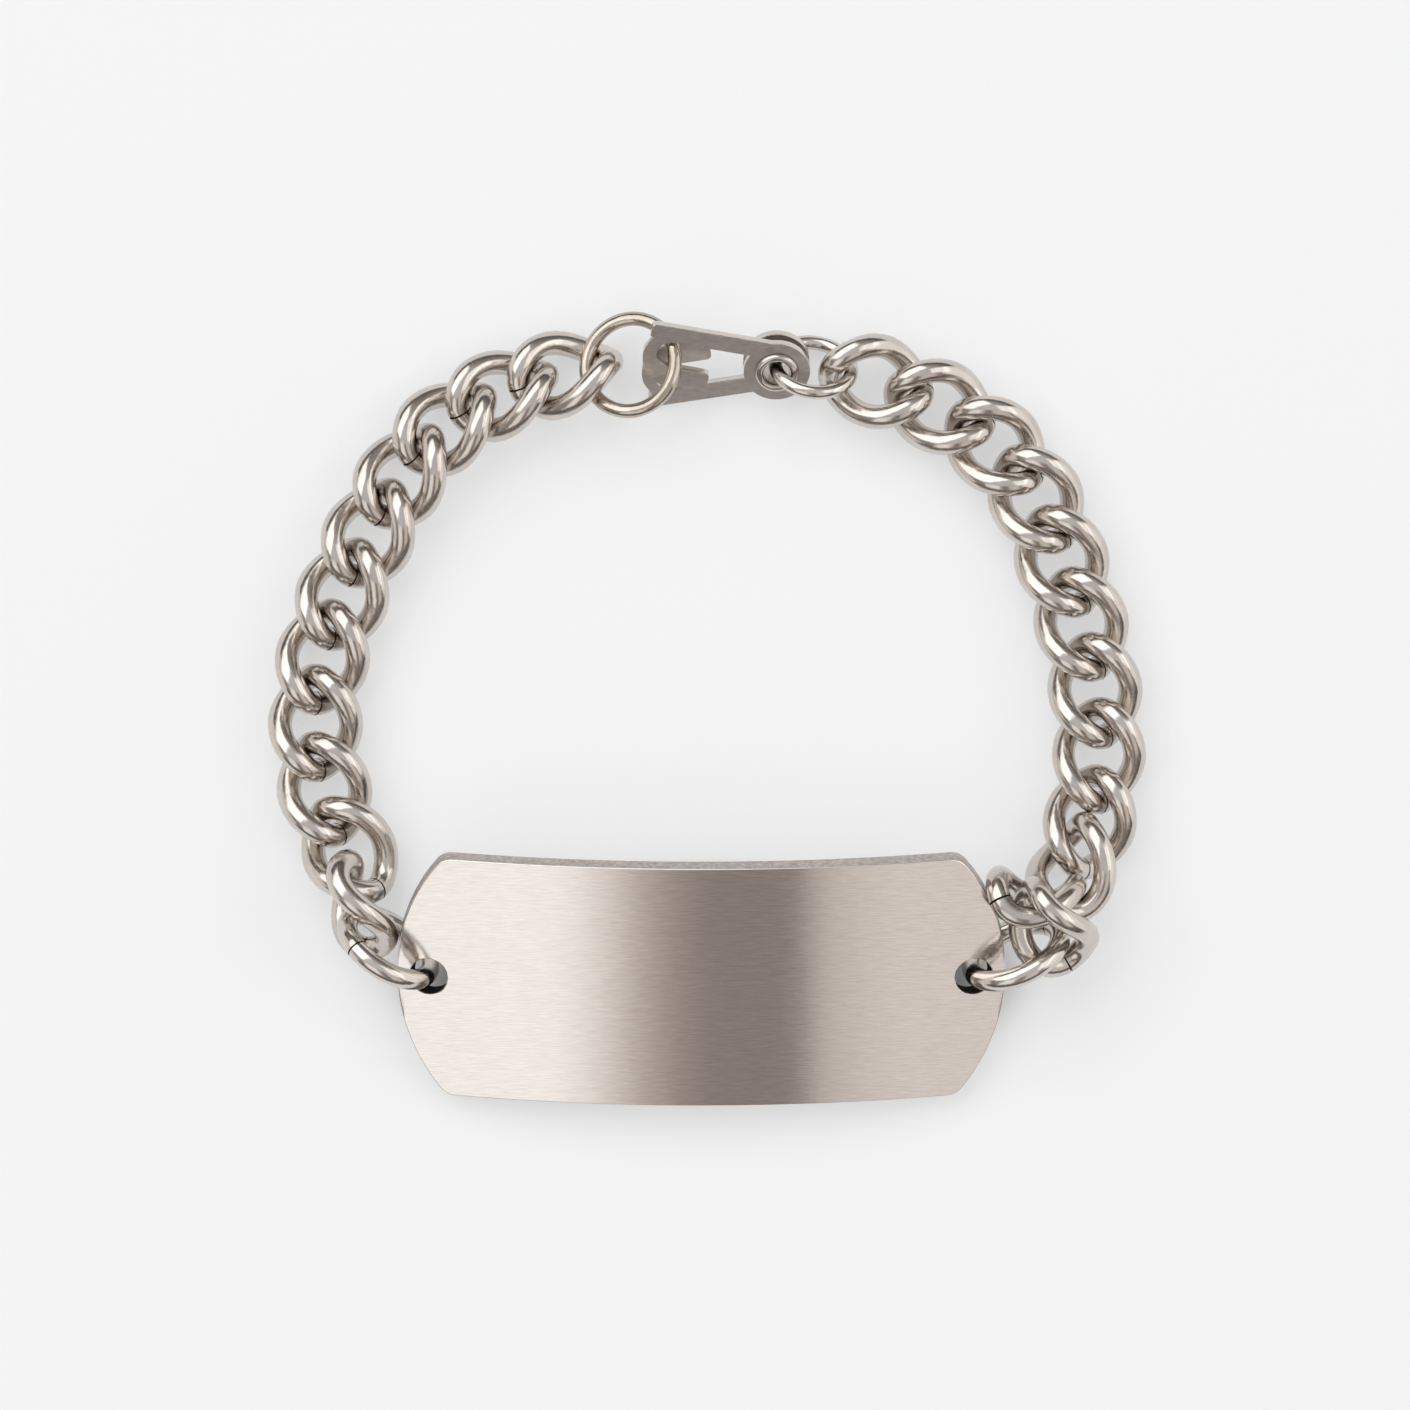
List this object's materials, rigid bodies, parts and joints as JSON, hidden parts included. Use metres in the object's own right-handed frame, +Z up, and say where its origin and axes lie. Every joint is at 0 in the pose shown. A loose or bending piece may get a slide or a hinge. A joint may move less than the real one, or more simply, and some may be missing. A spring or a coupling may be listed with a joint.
{
  "type": "id bracelet",
  "caption": "Identity bracelet: a curved blank name plate on two curb chains, joined by jump rings and closed by a pair of sister hooks over a ring.",
  "frame": {"origin": "on the surface it lies on, under the middle of the bracelet's outline", "axes": "+Z up from the surface, +X along the plate's length, +Y from the plate to the clasp"},
  "size_m": [0.0701, 0.0633, 0.0107],
  "materials": {
    "satin_plate": "brushed along the plate's length",
    "chain_steel": "polished stainless steel",
    "ring_steel": "polished stainless steel",
    "eyelet_steel": "polished stainless steel",
    "hooks": "satin sheet steel"
  },
  "bodies": {
    "bracelet": {"plate": "satin_plate", "link_left_1": "chain_steel", "link_left_2": "chain_steel", "link_left_3": "chain_steel", "link_left_4": "chain_steel", "link_left_5": "chain_steel", "link_left_6": "chain_steel", "link_left_7": "chain_steel", "link_left_8": "chain_steel", "link_left_9": "chain_steel", "link_left_10": "chain_steel", "link_left_11": "chain_steel", "link_right_1": "chain_steel", "link_right_2": "chain_steel", "link_right_3": "chain_steel", "link_right_4": "chain_steel", "link_right_5": "chain_steel", "link_right_6": "chain_steel", "link_right_7": "chain_steel", "link_right_8": "chain_steel", "link_right_9": "chain_steel", "link_right_10": "chain_steel", "link_right_11": "chain_steel", "link_right_12": "chain_steel", "plate_ring_left": "ring_steel", "plate_ring_right": "ring_steel", "hook_ring": "ring_steel", "eyelet_ring": "ring_steel", "eyelet": "eyelet_steel"},
    "upper_hook": {"hook_upper": "hooks"},
    "lower_hook": {"hook_lower": "hooks"}
  },
  "joints": [
    {"name": "upper_hook_pivot", "type": "hinge", "parent": "bracelet", "child": "upper_hook", "pos_m": [0.0055, 0.0274, 0.0032], "axis": [0.0221, -0.6101, 0.792], "range_deg": [-1, 0.5]},
    {"name": "lower_hook_pivot", "type": "hinge", "parent": "bracelet", "child": "lower_hook", "pos_m": [0.0055, 0.0274, 0.0032], "axis": [0.0221, -0.6101, 0.792], "range_deg": [-0.7, 100]}
  ]
}
